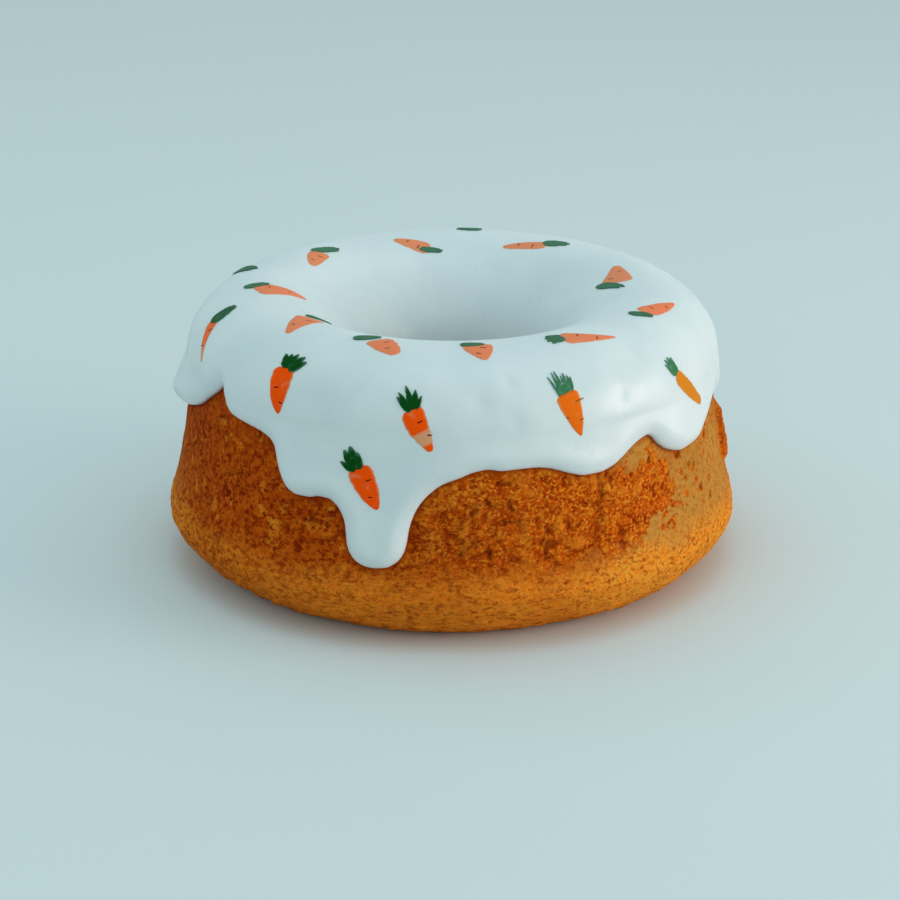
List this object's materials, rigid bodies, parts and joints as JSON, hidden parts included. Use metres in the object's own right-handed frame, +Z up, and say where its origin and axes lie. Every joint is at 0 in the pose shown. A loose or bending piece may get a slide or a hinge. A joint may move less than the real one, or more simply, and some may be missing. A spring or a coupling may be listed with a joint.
{
  "type": "carrot cake",
  "caption": "Ring carrot cake with poured white icing that drips down its sides and small carrots painted on the icing.",
  "frame": {"origin": "bottom centre of the cake, on its centre line, at the plane it stands on", "axes": "+Z up along the centre line, -Y towards the front with the longest drip, +X to the right of the front"},
  "size_m": [0.22, 0.2199, 0.1058],
  "materials": {
    "sponge": "golden brown sponge crumb, dry and porous, matt",
    "icing": "smooth set white icing with a soft gloss",
    "carrot_paint": "orange food paint, satin, with dark nicks",
    "leaf_paint": "dark green food paint, satin, in brush strokes"
  },
  "bodies": {
    "root": {"cake_sponge": "sponge", "icing": "icing", "carrot_01_root": "carrot_paint", "carrot_01_leaves": "leaf_paint", "carrot_02_root": "carrot_paint", "carrot_02_leaves": "leaf_paint", "carrot_03_root": "carrot_paint", "carrot_03_leaves": "leaf_paint", "carrot_04_root": "carrot_paint", "carrot_04_leaves": "leaf_paint", "carrot_05_root": "carrot_paint", "carrot_05_leaves": "leaf_paint", "carrot_06_root": "carrot_paint", "carrot_06_leaves": "leaf_paint", "carrot_07_root": "carrot_paint", "carrot_07_leaves": "leaf_paint", "carrot_08_root": "carrot_paint", "carrot_08_leaves": "leaf_paint", "carrot_09_root": "carrot_paint", "carrot_09_leaves": "leaf_paint", "carrot_10_root": "carrot_paint", "carrot_10_leaves": "leaf_paint", "carrot_11_root": "carrot_paint", "carrot_11_leaves": "leaf_paint", "carrot_12_root": "carrot_paint", "carrot_12_leaves": "leaf_paint", "carrot_13_root": "carrot_paint", "carrot_13_leaves": "leaf_paint", "carrot_14_root": "carrot_paint", "carrot_14_leaves": "leaf_paint", "carrot_15_root": "carrot_paint", "carrot_15_leaves": "leaf_paint", "carrot_16_root": "carrot_paint", "carrot_16_leaves": "leaf_paint", "carrot_17_root": "carrot_paint", "carrot_17_leaves": "leaf_paint", "carrot_18_root": "carrot_paint", "carrot_18_leaves": "leaf_paint", "carrot_19_root": "carrot_paint", "carrot_19_leaves": "leaf_paint", "carrot_20_root": "carrot_paint", "carrot_20_leaves": "leaf_paint", "carrot_21_root": "carrot_paint", "carrot_21_leaves": "leaf_paint", "carrot_22_root": "carrot_paint", "carrot_22_leaves": "leaf_paint", "carrot_23_root": "carrot_paint", "carrot_23_leaves": "leaf_paint", "carrot_24_root": "carrot_paint", "carrot_24_leaves": "leaf_paint"}
  },
  "joints": []
}
